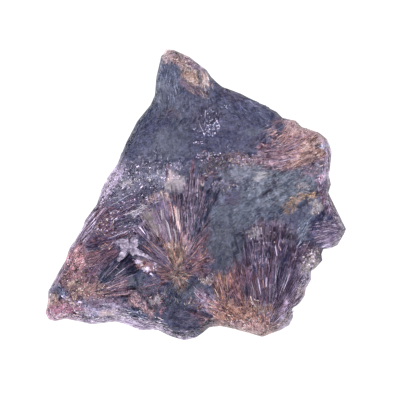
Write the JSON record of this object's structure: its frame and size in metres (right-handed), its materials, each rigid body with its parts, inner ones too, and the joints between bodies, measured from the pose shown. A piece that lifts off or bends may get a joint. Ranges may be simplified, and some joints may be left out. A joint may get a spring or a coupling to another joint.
{
  "type": "lamprophyllite mineral specimen",
  "caption": "Broken slab of dark alkaline rock with radiating sprays of bladed lamprophyllite crystals across its show face, lying on its back.",
  "frame": {"origin": "middle of the specimen's outline, on the surface it rests on", "axes": "+Z out of the show face, away from the flat back; +Y from the bottom edge towards the pointed top corner; +X towards the right nose"},
  "size_m": [0.0838, 0.0812, 0.0229],
  "materials": {
    "matrix": "matte",
    "lamprophyllite": "satin",
    "felsic": "matte"
  },
  "bodies": {
    "root": {"lamprophyllite_specimen": "matrix"}
  },
  "joints": []
}
